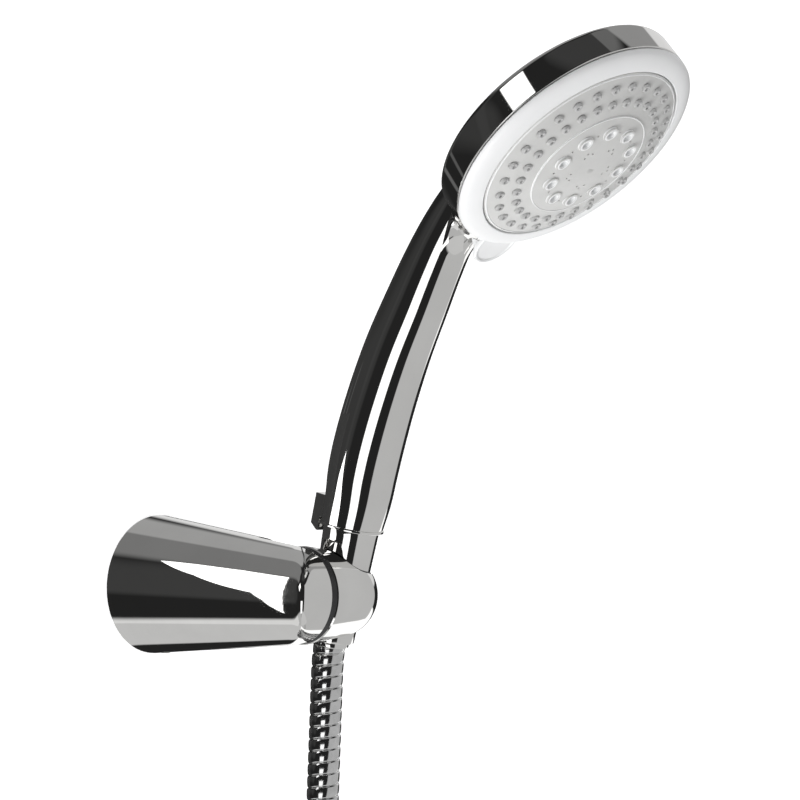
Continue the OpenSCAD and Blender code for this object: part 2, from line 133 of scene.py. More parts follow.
def rounded(points, radius, steps=4, closed=False):
    """Corners of a profile eased with short curves. radius is one number, or one for each point."""
    out = []
    n = len(points)
    for i, p in enumerate(points):
        r = radius if isinstance(radius, (int, float)) else radius[i]
        if r <= 0 or (not closed and i in (0, n - 1)):
            out.append(tuple(p))
            continue
        p = Vector(p)
        a, b = Vector(points[i - 1]) - p, Vector(points[(i + 1) % n]) - p
        ra, rb = min(r, a.length * 0.49), min(r, b.length * 0.49)
        a, b = p + a.normalized() * ra, p + b.normalized() * rb
        for k in range(steps + 1):
            t = k / steps
            out.append(tuple(a * (1 - t) ** 2 + p * (2 * t * (1 - t)) + b * t * t))
    return out


def lathe(profile, m, sides=160, closed=False, at=(0, 0)):
    """Points and faces of a profile of (radius, height) turned about the local Z axis."""
    verts, faces = [], []
    for r, z in profile:
        for j in range(sides):
            a = 2 * math.pi * j / sides
            verts.append(m @ Vector((at[0] + r * math.cos(a), at[1] + r * math.sin(a), z)))
    rows = len(profile)
    for i in range(rows if closed else rows - 1):
        k = (i + 1) % rows
        for j in range(sides):
            l = (j + 1) % sides
            faces.append((i * sides + j, i * sides + l, k * sides + l, k * sides + j))
    return verts, faces


def merged(parts):
    """One list of points and one of faces from several pairs."""
    verts, faces = [], []
    for v, f in parts:
        base = len(verts)
        verts += v
        faces += [tuple(i + base for i in face) for face in f]
    return verts, faces


def tube_grid(rings, caps=True):
    """Points and faces of a tube through its rings."""
    sides = len(rings[0])
    verts = [v for ring in rings for v in ring]
    faces = []
    for i in range(len(rings) - 1):
        for j in range(sides):
            l = (j + 1) % sides
            faces.append((i * sides + j, i * sides + l, (i + 1) * sides + l, (i + 1) * sides + j))
    if caps:
        faces.append(tuple(range(sides)))
        faces.append(tuple((len(rings) - 1) * sides + j for j in range(sides)))
    return verts, faces


def catmull(points, per):
    """A smooth line through the points, per steps to each span."""
    pts = [Vector(p) for p in points]
    pts = [pts[0] * 2 - pts[1]] + pts + [pts[-1] * 2 - pts[-2]]
    out = []
    for i in range(1, len(pts) - 2):
        p0, p1, p2, p3 = pts[i - 1:i + 3]
        gaps = [max((b - a).length, 1e-9) ** 0.5 for a, b in ((p0, p1), (p1, p2), (p2, p3))]
        m1 = (p1 - p0) / gaps[0] - (p2 - p0) / (gaps[0] + gaps[1]) + (p2 - p1) / gaps[1]
        m2 = (p2 - p1) / gaps[1] - (p3 - p1) / (gaps[1] + gaps[2]) + (p3 - p2) / gaps[2]
        m1, m2 = m1 * gaps[1], m2 * gaps[1]
        for k in range(per):
            t = k / per
            out.append(p1 * (2 * t**3 - 3 * t**2 + 1) + m1 * (t**3 - 2 * t**2 + t)
                       + p2 * (-2 * t**3 + 3 * t**2) + m2 * (t**3 - t**2))
    out.append(pts[-2])
    return out


# Materials
def blank(name):
    mat = bpy.data.materials.new(name)
    mat.use_nodes = True
    shader = next(n for n in mat.node_tree.nodes if n.type == "BSDF_PRINCIPLED")
    return mat, mat.node_tree, shader


def noise(tree, coord, scale, detail, rough, stretch=None):
    n = tree.nodes.new("ShaderNodeTexNoise")
    n.inputs["Scale"].default_value = scale
    n.inputs["Detail"].default_value = detail
    n.inputs["Roughness"].default_value = rough
    source = coord.outputs["Object"]
    if stretch:
        mapping = tree.nodes.new("ShaderNodeMapping")
        mapping.inputs["Scale"].default_value = stretch
        tree.links.new(source, mapping.inputs["Vector"])
        source = mapping.outputs["Vector"]
    tree.links.new(source, n.inputs["Vector"])
    return n.outputs["Fac"]


NOISE_LOW, NOISE_HIGH = 0.3, 0.7


def spread(tree, source, low, high):
    """A noise as a number from low to high."""
    m = tree.nodes.new("ShaderNodeMapRange")
    m.inputs["From Min"].default_value = NOISE_LOW
    m.inputs["From Max"].default_value = NOISE_HIGH
    m.inputs["To Min"].default_value = low
    m.inputs["To Max"].default_value = high
    tree.links.new(source, m.inputs["Value"])
    return m.outputs["Result"]


def tint(tree, source, dark, light):
    """A noise as a colour from dark to light."""
    r = tree.nodes.new("ShaderNodeValToRGB")
    r.color_ramp.elements[0].position = NOISE_LOW
    r.color_ramp.elements[1].position = NOISE_HIGH
    r.color_ramp.elements[0].color = (*dark, 1)
    r.color_ramp.elements[1].color = (*light, 1)
    tree.links.new(source, r.inputs["Fac"])
    return r.outputs["Color"]


def bump(tree, shader, source, distance):
    b = tree.nodes.new("ShaderNodeBump")
    b.inputs["Strength"].default_value = 1.0
    b.inputs["Distance"].default_value = distance
    tree.links.new(source, b.inputs["Height"])
    tree.links.new(b.outputs["Normal"], shader.inputs["Normal"])


def surface(name, dark, light, rough, scale, metal, bump_scale, depth,
            stretch=None, glass=0.0, sub=0.0):
    """A finish with its own small changes of colour, gloss and relief. depth is in metres."""
    mat, tree, shader = blank(name)
    coord = tree.nodes.new("ShaderNodeTexCoord")
    broad = noise(tree, coord, scale, 4, 0.55)
    tree.links.new(tint(tree, broad, dark, light), shader.inputs["Base Color"])
    fine = noise(tree, coord, scale * 7, 3, 0.6, stretch)
    tree.links.new(spread(tree, fine, rough[0], rough[1]), shader.inputs["Roughness"])
    shader.inputs["Metallic"].default_value = metal
    shader.inputs["Specular IOR Level"].default_value = 0.5
    if glass:
        shader.inputs["Transmission Weight"].default_value = glass
        shader.inputs["IOR"].default_value = 1.49
    if sub:
        shader.inputs["Subsurface Weight"].default_value = sub
        shader.inputs["Subsurface Radius"].default_value = (0.004, 0.004, 0.004)
        shader.inputs["Subsurface Scale"].default_value = 0.5
    bump(tree, shader, noise(tree, coord, bump_scale, 3, 0.5, stretch), depth)
    return mat


CHROME_RELIEF = 0.00001
# dark and light colour, roughness from and to, noise scale, metal, relief's noise scale and depth
FINISHES = {
    "chrome_metal": ((0.82, 0.815, 0.80), (0.88, 0.875, 0.86), (0.015, 0.06), 35, 1.0, 60,
                     CHROME_RELIEF),
    "chrome_plastic": ((0.81, 0.805, 0.79), (0.87, 0.865, 0.85), (0.015, 0.055), 28, 1.0, 45,
                       CHROME_RELIEF),
    "hose_metal": ((0.66, 0.66, 0.66), (0.80, 0.80, 0.80), (0.06, 0.16), 160, 1.0, 500, 0.000008),
    "white_plastic": ((0.86, 0.865, 0.87), (0.90, 0.905, 0.91), (0.32, 0.40), 40, 0.0, 60, 0.000001),
    "pale_plastic": ((0.60, 0.60, 0.59), (0.66, 0.66, 0.65), (0.36, 0.52), 60, 0.0, 1200, 0.000004),
    "pale_silicone": ((0.42, 0.42, 0.42), (0.52, 0.52, 0.515), (0.35, 0.55), 300, 0.0, 2500, 0.00003),
    "zinc": ((0.36, 0.37, 0.38), (0.50, 0.51, 0.52), (0.35, 0.6), 90, 1.0, 700, 0.00012),
    "steel": ((0.50, 0.50, 0.50), (0.66, 0.66, 0.65), (0.18, 0.42), 150, 1.0, 1500, 0.00003),
    "brass": ((0.62, 0.42, 0.16), (0.80, 0.60, 0.28), (0.16, 0.38), 120, 1.0, 1200, 0.00003),
    "black_plastic": ((0.012, 0.012, 0.013), (0.03, 0.03, 0.032), (0.38, 0.58), 120, 0.0, 1400,
                      0.00004),
    "black_rubber": ((0.010, 0.010, 0.010), (0.035, 0.035, 0.034), (0.62, 0.85), 160, 0.0, 1800,
                     0.00006),
    "clear_plastic": ((0.90, 0.93, 0.95), (0.96, 0.98, 1.0), (0.08, 0.22), 60, 0.0, 800, 0.00002),
}
EXTRAS = {
    "pale_silicone": {"sub": 0.3},
    "steel": {"stretch": (1, 1, 9)},
    "brass": {"stretch": (1, 1, 12)},
    "clear_plastic": {"glass": 0.85},
}
MATS = {name: surface(name, *finish, **EXTRAS.get(name, {})) for name, finish in FINISHES.items()}
for obj in nodes.values():
    slot = obj.data.materials[0].name.split(".")[0]
    obj.data.materials.clear()
    obj.data.materials.append(MATS[slot])

# Hose: the route's points in metres, out from the wall along -Y. It drops, then lies in a coil
HOSE_OUT, COIL_Z, COIL_R, TURNS, PITCH = 0.082, -0.178, 0.071, 3, 0.0144
FLANGE = -0.0224
STRIP_PITCH, HOSE_SIDES = 0.0053, 24
hose_top = TILT_AT + HAND_AXIS * FLANGE
drop = [(hose_top.x, -hose_top.y, hose_top.z)] + [
    (TILT_AT.x, out, up) for out, up in (
        (0.0824, -0.026), (0.0821, -0.031), (HOSE_OUT, -0.037), (HOSE_OUT, -0.046),
        (HOSE_OUT, -0.058), (HOSE_OUT, -0.072), (HOSE_OUT, -0.086), (HOSE_OUT, -0.1),
        (HOSE_OUT, -0.116), (HOSE_OUT, -0.132), (HOSE_OUT, -0.148), (HOSE_OUT, -0.162),
        (HOSE_OUT, -0.175))]
route = [Vector((x, -out, up)) for x, out, up in (tuple(p) for p in catmull(drop, 3))]
coil_x = TILT_AT.x + COIL_R
coil_steps = 48 * TURNS
for k in range(coil_steps + 1):
    a = math.pi + 2 * math.pi * TURNS * k / coil_steps
    y = -HOSE_OUT + PITCH * TURNS * k / coil_steps
    route.append(Vector((coil_x + COIL_R * math.cos(a), y, COIL_Z + COIL_R * math.sin(a))))
tail_y = -HOSE_OUT + PITCH * TURNS
for up in (-0.188, -0.2, -0.212, -0.224):
    route.append(Vector((TILT_AT.x, tail_y, up)))
runs = [0.0]
for a, b in zip(route, route[1:]):
    runs.append(runs[-1] + (b - a).length)
hose_length = runs[-1]


def along(s):
    """The span of the route that holds length s, and how far along that span."""
    s = min(max(s, 0.0), hose_length)
    k = next((i for i in range(len(runs) - 1) if runs[i + 1] >= s), len(runs) - 2)
    t = (s - runs[k]) / (runs[k + 1] - runs[k])
    return k, t


def hose_mesh():
    """A strip wound into a spiral: its profile is a groove, a steep step and a crown."""
    band = [(0.00, 6.4), (0.05, 6.8), (0.13, 7.03), (0.32, 7.1), (0.62, 7.06), (0.84, 6.92),
            (0.94, 6.72), (0.985, 6.4)]
    sides = HOSE_SIDES
    normals = []
    side = Y.copy()
    tangents = []
    for i in range(len(route)):
        t = (route[min(i + 1, len(route) - 1)] - route[max(i - 1, 0)]).normalized()
        side = (side - t * side.dot(t)).normalized()
        tangents.append(t)
        normals.append(side.copy())
    turns = int(hose_length / STRIP_PITCH) + 1
    verts, faces = [], []
    rows = (turns + 1) * len(band)
    for k in range(rows):
        part, r = band[k % len(band)]
        for j in range(sides):
            s = (k // len(band) + part - 1 + j / sides) * STRIP_PITCH
            i, t = along(s)
            t = min(max(t, 0.0), 1.0)
            centre = route[i].lerp(route[i + 1], t)
            n = normals[i].lerp(normals[i + 1], t).normalized()
            d = tangents[i].lerp(tangents[i + 1], t).normalized()
            b = d.cross(n)
            a = 2 * math.pi * j / sides
            verts.append(centre + (n * math.cos(a) + b * math.sin(a)) * r * MM)
    for k in range(rows - 1):
        for j in range(sides):
            if j < sides - 1:
                faces.append((k * sides + j, k * sides + j + 1,
                              (k + 1) * sides + j + 1, (k + 1) * sides + j))
            elif k + len(band) + 1 < rows:
                l = k + len(band)
                faces.append((k * sides + j, l * sides, (l + 1) * sides, (k + 1) * sides + j))
    return verts, faces


verts, faces = hose_mesh()
hose = piece("spiral_hose", verts, faces, "hose", "hose_metal")
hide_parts("hose_tube", "hose_coil", "hose_tail")


# Handle: a smooth sweep through its stations (out, up, half width, half depth)
sl, cl = math.sin(LEAN), math.cos(LEAN)
NUT_TOP = 31.3
STATIONS = [
    (PIVOT_OUT + NUT_TOP * sl, NUT_TOP * cl, 13.6, 13.6), (97, 43, 14.6, 14.6), (99, 54, 15.1, 15.3),
    (102, 66, 15.2, 15.5), (108, 85, 14.9, 15.3), (116.5, 107, 14.4, 14.8), (126.5, 128, 13.7, 14),
    (135, 145, 13.2, 13), (142.5, 158, 13, 12), (151.5, 170.5, 13.4, 10.8), (162, 181.5, 14, 9),
    (174, 191.5, 14, 6.5), (186, 199, 12, 4)]


def handle_rings(sides):
    """Rings of points along the handle, from its foot up into the head."""
    mids = catmull([Vector(s[:2] + (0,)) for s in STATIONS], 8)
    sizes = catmull([Vector((i * 10, s[2], s[3])) for i, s in enumerate(STATIONS)], 8)
    rings = []
    for i, (p, size) in enumerate(zip(mids, sizes)):
        t = (mids[min(i + 1, len(mids) - 1)] - mids[max(i - 1, 0)]).normalized()
        if i == 0:
            t = Vector((sl, cl, 0))
        ring = []
        for j in range(sides):
            a = 2 * math.pi * j / sides
            front = size.z * math.sin(a)
            out, up = p.x + front * t.y, p.y - front * t.x
            spot = Vector((SOCKET_X + size.y * math.cos(a), -out, up)) * MM
            ring.append(TURN @ (spot - TILT_AT) + TILT_AT)
        rings.append(ring)
    return rings


HANDLE_SIDES = 96
verts, faces = tube_grid(handle_rings(HANDLE_SIDES))
handle = piece("handle", verts, faces, "handset", "chrome_plastic", 50)
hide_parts("handle_shell")

# Head shell: band, rounded rear rim and low rear dome
HEAD_R, BAND_H, DOME_H, WALL, RIM = 56.2, 14, 9.5, 2.2, 1.2
DOME_R = ((HEAD_R - RIM) ** 2 + DOME_H**2) / (2 * DOME_H)


def dome_z(r):
    return -BAND_H - math.sqrt(DOME_R**2 - r * r) + DOME_R - DOME_H


back = [((HEAD_R - RIM) * (1 - k / 40), dome_z((HEAD_R - RIM) * (1 - k / 40))) for k in range(41)]
back[-1] = (0.01, back[-1][1])
outer = [(HEAD_R - WALL, -9), (HEAD_R - WALL, 0), (HEAD_R - 0.35, 0), (HEAD_R, -0.35),
         (HEAD_R, -BAND_H + 1.3), (HEAD_R - RIM, dome_z(HEAD_R - RIM) - 0.02)] + back[1:]
outer = rounded(outer, [0, 0.3, 0.2, 0.2, 1.1, 0.9] + [0] * 40)
inner = [(0.01, dome_z(0) + WALL), (30, dome_z(30) + WALL),
         (HEAD_R - WALL - 2, dome_z(HEAD_R - 3) + WALL), (HEAD_R - WALL, -BAND_H + 2)]
verts, faces = lathe(outer + inner, HEAD, 192, closed=True)
head = piece("head_cap", verts, faces, "handset", "chrome_plastic", 40)
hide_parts("head_shell")

# Neck: the handle flows into the band and the rear dome in a soft hollow curve
NECK_BACK, NECK_OUT, NECK_STEPS = 19.0, 10.0, 18


def head_gap(p):
    """Below zero inside the head."""
    r = math.hypot(p.x, p.y)
    return max(r - HEAD_R, p.z, dome_z(min(r, HEAD_R - RIM)) - p.z)


def onto_head(p):
    """The nearest place on the head's skin, straight out or straight back."""
    r = math.hypot(p.x, p.y)
    if r > HEAD_R - RIM or p.z > -BAND_H + 1:
        k = HEAD_R / r
        return Vector((p.x * k, p.y * k, min(max(p.z, -BAND_H + 0.6), -0.6)))
    return Vector((p.x, p.y, dome_z(r)))


def neck_parts():
    """Each line along the handle leaves it NECK_BACK before the head and lands NECK_OUT further out."""
    back_to = HEAD.inverted()
    rings = [[back_to @ v for v in ring] for ring in handle_rings(HANDLE_SIDES)]
    centres = [sum(ring, Vector()) / len(ring) for ring in rings]
    rows = []
    for j in range(HANDLE_SIDES):
        line = [ring[j] for ring in rings]
        hit = next((i for i in range(20, len(line)) if head_gap(line[i]) < 0), None)
        if hit is None:
            hit = len(line) - 1
        g0, g1 = head_gap(line[hit - 1]), head_gap(line[hit])
        t = g0 / (g0 - g1) if g1 < 0 < g0 else 1.0
        meet = line[hit - 1].lerp(line[hit], t)
        away, i, last = NECK_BACK, hit - 1, meet
        while (line[i] - last).length < away and i > 1:
            away -= (line[i] - last).length
            last = line[i]
            i -= 1
        start = last.lerp(line[i], away / max((line[i] - last).length, 1e-6))
        run = (last - line[i]).normalized()
        out = (meet - centres[hit - 1].lerp(centres[hit], t)).normalized()
        end = onto_head(meet + out * NECK_OUT)
        lead = end - onto_head(meet + out * (NECK_OUT - 1.5))
        lead = lead.normalized() if lead.length > 1e-4 else out
        reach = (end - start).length * 1.15
        row = []
        for k in range(NECK_STEPS + 1):
            u = k / NECK_STEPS
            row.append(HEAD @ (start * (2 * u**3 - 3 * u**2 + 1) + run * reach * (u**3 - 2 * u**2 + u)
                               + end * (-2 * u**3 + 3 * u**2) + lead * reach * (u**3 - u**2)))
        rows.append(row)
    return tube_grid([[row[k] for row in rows] for k in range(NECK_STEPS + 1)], caps=False)


verts, faces = neck_parts()
piece("neck", verts, faces, "handset", "chrome_plastic")

# Lip ring
LIP_IN, LIP_OUT, LIP_H = 12.45, 14.1, 1.3
profile = rounded([(LIP_IN, NUT_TOP - LIP_H), (LIP_OUT, NUT_TOP - LIP_H), (LIP_OUT, NUT_TOP),
                   (LIP_IN, NUT_TOP)], 0.35, 3, closed=True)
verts, faces = lathe(profile, HANDSET, 96, closed=True)
lip = piece("lip", verts, faces, "handset", "chrome_plastic", 40)
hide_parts("lip_ring")

# Selector ring with its thumb lever
FACE_TOP, FACE_EDGE, PLATE_R = 13.4, 5.2, 46.6
FACE_R = (PLATE_R**2 + (FACE_TOP - FACE_EDGE) ** 2) / (2 * (FACE_TOP - FACE_EDGE))


def face_z(r):
    return FACE_TOP - FACE_R + math.sqrt(FACE_R**2 - r * r)


BEZEL_IN, SKIRT_R, SKIRT_Z = 46.2, 50.5, -2
ring_line = [(BEZEL_IN, SKIRT_Z), (SKIRT_R, SKIRT_Z), (SKIRT_R, 0.3), (HEAD_R - 0.6, 0.3),
             (HEAD_R - 0.1, 0.9)]
ring_line += [tuple(p)[:2] for p in catmull([
    Vector((HEAD_R - 0.2, 1.9, 0)), Vector((HEAD_R - 0.8, 2.9, 0)), Vector((HEAD_R - 2, 3.8, 0)),
    Vector((HEAD_R - 4, 4.6, 0)), Vector((HEAD_R - 6.5, 5.2, 0)), Vector((PLATE_R + 0.9, 5.5, 0))], 4)]
ring_line += [(PLATE_R + 0.62, 5.3), (PLATE_R + 0.5, 4.9), (PLATE_R + 0.45, 3.6), (BEZEL_IN, 3.6)]
verts, faces = lathe(ring_line, HEAD, 192, closed=True)
ring = piece("bezel", verts, faces, "spray_face", "white_plastic", 35)
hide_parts("selector_ring")

LEVER_TURN, TAB_R, TAB_OUT = math.radians(3), 11, HEAD_R + 0.5
lever_frame = HEAD @ Matrix.Rotation(LEVER_TURN, 4, "Z")


def lever_parts():
    rim = rounded([(0.01, 0.6), (TAB_R, 0.6), (TAB_R, 3.0), (TAB_R - 1.2, 2.9), (TAB_R - 1.8, 2.3),
                   (0.01, 2.2)], [0, 0.6, 0.8, 0.5, 0.5, 0], 5)
    parts = [lathe(rim, lever_frame, 96, at=(0, -TAB_OUT))]
    fin = rounded([(4, 0.7), (-4.5, 0.7), (-2.4, -3.4), (-0.5, 0.4), (4, 0.5)],
                  [0, 0.3, 0.5, 0.3, 0], 3)
    for side in (-1, 1):
        x0 = side * (TAB_R - 1.8) - 0.7
        rows = []
        for x, inset in ((x0, 0.25), (x0 + 0.25, 0), (x0 + 1.15, 0), (x0 + 1.4, 0.25)):
            cx, cy = sum(p[0] for p in fin) / len(fin), sum(p[1] for p in fin) / len(fin)
            rows.append([lever_frame @ Vector((
                x, -TAB_OUT + p[0] + (cx - p[0]) * inset * 0.3, p[1] + (cy - p[1]) * inset * 0.3))
                for p in fin])
        parts.append(tube_grid(rows))
    return merged(parts)


verts, faces = lever_parts()
piece("thumb_lever", verts, faces, "spray_face", "white_plastic", 45)

# Nipples in two rings, on one sheet of silicone
RINGS, NIPPLES, NIPPLE_R = (40.6, 33.7), 28, 1.85
SHEET_IN, SHEET_OUT = 30.5, 43.2


def silicone():
    parts = []
    for ring_r in RINGS:
        top = face_z(ring_r)
        line = rounded([(NIPPLE_R, top - 1.6), (NIPPLE_R, top - 0.1), (2.2, top - 0.1),
                        (2.15, top + 0.3), (NIPPLE_R + 0.1, top + 0.5),
                        (NIPPLE_R - 0.2, top + 1.0), (1.2, top + 1.15),
                        (0.8, top + 1.0), (0.6, top + 0.6), (0.5, top - 0.8), (0.01, top - 0.8)],
                       [0, 0.05, 0.1, 0.2, 0.2, 0.3, 0.25, 0.2, 0.1, 0, 0], 3)
        for k in range(NIPPLES):
            a = 2 * math.pi * k / NIPPLES - math.pi / 2
            parts.append(lathe(line, HEAD, 18, at=(ring_r * math.cos(a), ring_r * math.sin(a))))
    sheet = [(SHEET_IN, face_z(SHEET_IN) - 2.8)]
    sheet += [(r, face_z(r) - 1.55) for r in (SHEET_IN, 37, SHEET_OUT)]
    sheet += [(r, face_z(r) - 2.8) for r in (SHEET_OUT, 37)]
    parts.append(lathe(sheet, HEAD, 96, closed=True))
    return merged(parts)


verts, faces = silicone()
mat_piece = piece("nipple_sheet", verts, faces, "spray_face", "pale_silicone", 60)
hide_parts("nozzle_mat")

# Jet collars on the middle plate
JETS, JET_R = 10, 19.5


def collars():
    parts = []
    for k in range(JETS):
        a = 2 * math.pi * (k + 0.5) / JETS - math.pi / 2
        top = face_z(JET_R)
        line = rounded([(3.62, top + 0.1), (3.5, top + 0.8), (3.0, top + 1.5), (2.35, top + 1.55),
                        (1.95, top + 1.1), (1.85, top - 2.4), (0.01, top - 2.4)],
                       [0, 0.3, 0.45, 0.35, 0.3, 0.1, 0], 5)
        parts.append(lathe(line, HEAD, 40, at=(JET_R * math.cos(a), JET_R * math.sin(a))))
    return merged(parts)


verts, faces = collars()
piece("jet_rims", verts, faces, "spray_face", "white_plastic", 60)

# Bright lines round the middle plate and round the edge of the nozzle plate
line = rounded([(27.15, face_z(27.3) + 0.3), (27.2, face_z(27.3) + 0.62), (27.6, face_z(27.3) + 0.62),
                (27.65, face_z(27.3) - 0.2)], 0.12, 3)
plate_line = [(45.5, face_z(45.5) - 0.1), (45.65, face_z(45.6) + 0.22), (45.95, face_z(45.9) + 0.22),
              (46.15, face_z(46.1) - 0.1)]
verts, faces = merged([lathe(line, HEAD, 160), lathe(rounded(plate_line, 0.12, 3), HEAD, 160)])
piece("plate_lines", verts, faces, "spray_face", "white_plastic", 60)

# Bracket: a cone that rounds into a drum lying along X, cut flat on its inner cheek
BRACKET_R = (nodes["bracket_cone"].bound_box[6][0] - nodes["bracket_cone"].bound_box[0][0]) / MM / 2
END_R, CHEEK_X, NOTCH = 21.3, -1.2, 63.5
SLOPE = (BRACKET_R - END_R) / PIVOT_OUT
BLEND, BLEND_FROM, BLEND_OVER = 3, 84, 14
RAY_ROWS, RAYS, RAY_REACH = 128, 80, 70.0


def bracket_gap(x, s, z):
    """Below zero inside the bracket. s is the distance from the wall."""
    cone_gap = (math.hypot(x, z) - BRACKET_R + SLOPE * s) * math.cos(math.atan(SLOPE))
    if s > PIVOT_OUT:
        drum_gap = math.hypot(z, s - PIVOT_OUT) - END_R
    else:
        drum_gap = abs(z) - END_R - (PIVOT_OUT - s) * SLOPE
    t = min(max((s - BLEND_FROM) / BLEND_OVER, 0), 1)
    soft = 0.01 + BLEND * t * t * (3 - 2 * t)
    near = max(soft - abs(cone_gap - drum_gap), 0) / soft
    return max(cone_gap, drum_gap) + near * near * soft / 4


def bracket_parts():
    def at(x, s, z):
        return Vector((x, -s, z)) * MM

    wall_m = frame_of((0, 0, 0), X, Z, -Y)
    r0 = BRACKET_R
    body = [(r0 - 3.4, 30), (r0 - 2.6, 0.6), (r0 - 2.0, 0), (r0 - 0.45, 0), (r0 - 0.03, 0.45)]
    body += [(r0 - SLOPE * s, s) for s in (3, 8, 16, 24, 32, 40, 48, 56, NOTCH)]
    parts = [lathe(body, wall_m, 256)]
    # Rays from the middle of the cheek's near edge find the rest of the skin
    start = (CHEEK_X, NOTCH, 0.0)
    rows = []
    for i in range(RAY_ROWS + 1):
        e = math.radians(-90 + 180 * i / RAY_ROWS)
        row = []
        for k in range(RAYS + 1):
            g = math.radians(90 * k / RAYS)
            d = (-math.cos(e) * math.sin(g), math.cos(e) * math.cos(g), math.sin(e))
            near, far = 0.0, RAY_REACH
            for _ in range(40):
                mid = (near + far) / 2
                p = [start[n] + d[n] * mid for n in range(3)]
                if bracket_gap(*p) < 0:
                    near = mid
                else:
                    far = mid
            row.append(at(*(start[n] + d[n] * near for n in range(3))))
        rows.append(row)
    verts = [v for row in rows for v in row]
    w = len(rows[0])
    faces = [(i * w + k, i * w + k + 1, (i + 1) * w + k + 1, (i + 1) * w + k)
             for i in range(len(rows) - 1) for k in range(w - 1)]
    parts.append((verts, faces))
    cheek = [row[0] for row in rows]
    parts.append((cheek, [tuple(range(len(cheek)))]))
    edge_r = r0 - SLOPE * NOTCH
    half = math.acos(CHEEK_X / edge_r)
    step = [at(edge_r * math.cos(half * t / 24), NOTCH, edge_r * math.sin(half * t / 24))
            for t in range(-24, 25)]
    parts.append((step, [tuple(range(len(step)))]))
    return merged(parts)


verts, faces = bracket_parts()
bracket = piece("bracket", verts, faces, "bracket", "chrome_metal", 40)
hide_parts("bracket_cone")

# Holder: a turned body with a ball end, the taper and the hose slot cut from it
BALL_R, BALL_X, HOLDER_X, EDGE, LINER = 18.6, 23.5, 2.5, 0.5, 1.2


NUT_FOOT, NUT_FOOT_R, NUT_TOP_R = -20, 10.2, 12.3


def nut_r(w):
    """Radius of the cone nut at height w."""
    return NUT_FOOT_R + (w - NUT_FOOT) * (NUT_TOP_R - NUT_FOOT_R) / (NUT_TOP - NUT_FOOT)


def solid(name, verts, faces):
    """A closed mesh, its open rims filled, for cutting."""
    mesh = bpy.data.meshes.new(name)
    mesh.from_pydata([tuple(v) for v in verts], [], faces)
    bm = bmesh.new()
    bm.from_mesh(mesh)
    bmesh.ops.remove_doubles(bm, verts=bm.verts, dist=1e-7)
    bmesh.ops.holes_fill(bm, edges=[e for e in bm.edges if e.is_boundary], sides=0)
    bmesh.ops.recalc_face_normals(bm, faces=bm.faces)
    bm.to_mesh(mesh)
    bm.free()
    obj = bpy.data.objects.new(name, mesh)
    bpy.context.scene.collection.objects.link(obj)
    return obj


def cut(target, tools):
    for tool in tools:
        mod = target.modifiers.new("cut", "BOOLEAN")
        mod.operation = "DIFFERENCE"
        mod.object = tool
        mod.solver = "EXACT"
    graph = bpy.context.evaluated_depsgraph_get()
    mesh = bpy.data.meshes.new_from_object(target.evaluated_get(graph))
    target.modifiers.clear()
    target.data = mesh
    for tool in tools:
        bpy.data.objects.remove(tool)


turned = [(0.01, HOLDER_X), (END_R - EDGE, HOLDER_X), (END_R, HOLDER_X + EDGE)]
corner = (BALL_R * math.cos(math.radians(8)), BALL_X + BALL_R * math.sin(math.radians(8)))
turned += [(END_R + (corner[0] - END_R) * t, HOLDER_X + EDGE + (corner[1] - HOLDER_X - EDGE) * t)
           for t in (0.2, 0.4, 0.6, 0.8)]
turned += [(BALL_R * math.cos(math.radians(a)) + 0.01, BALL_X + BALL_R * math.sin(math.radians(a)))
           for a in [8 + 82 * k / 32 for k in range(33)]]
verts, faces = lathe(turned, HOLDER, 192)
holder = solid("holder", verts, faces)
cone = [(nut_r(w) + 0.05 + LINER, w) for w in (-30, -15, 0, 15, 30)]
verts, faces = lathe(cone, HANDSET, 128)
taper = solid("taper_tool", verts, faces)
SLOT_HALF, SLOT_REACH = 8, 40
slot_floor = ((0, -SLOT_HALF), (SLOT_REACH, -SLOT_HALF), (SLOT_REACH, SLOT_HALF), (0, SLOT_HALF))
corners = [(x, y, z) for z in (-SLOT_REACH, SLOT_REACH) for x, y in slot_floor]
slot_tool = solid("slot_tool", [HANDSET @ Vector(c) for c in corners],
                  [(0, 1, 2, 3), (4, 5, 6, 7), (0, 1, 5, 4), (1, 2, 6, 5), (2, 3, 7, 6), (3, 0, 4, 7)])
cut(holder, [taper, slot_tool])
holder.data.materials.clear()
holder.data.materials.append(MATS["chrome_metal"])
holder.data.polygons.foreach_set("use_smooth", [True] * len(holder.data.polygons))
holder.data.set_sharp_from_angle(angle=math.radians(30))
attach(holder, "holder")
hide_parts("holder_body")


# Small eased edges on the CAD parts that show
for name, width in (("rear_lug", 0.6), ("far_nut", 0.35), ("far_ferrule", 0.4),
                    ("top_ferrule", 0.3), ("cone_nut", 0.25), ("pivot_bolt", 0.3), ("wall_plate", 0.3),
                    ("hose_tie", 0.4)):
    ease = nodes[name].modifiers.new("ease", "WELD")
    ease.merge_threshold = 1e-6
    ease = nodes[name].modifiers.new("edges", "BEVEL")
    ease.width = width * MM
    ease.segments = 2
    ease.limit_method = "ANGLE"
    ease.angle_limit = math.radians(40)
    ease.harden_normals = False


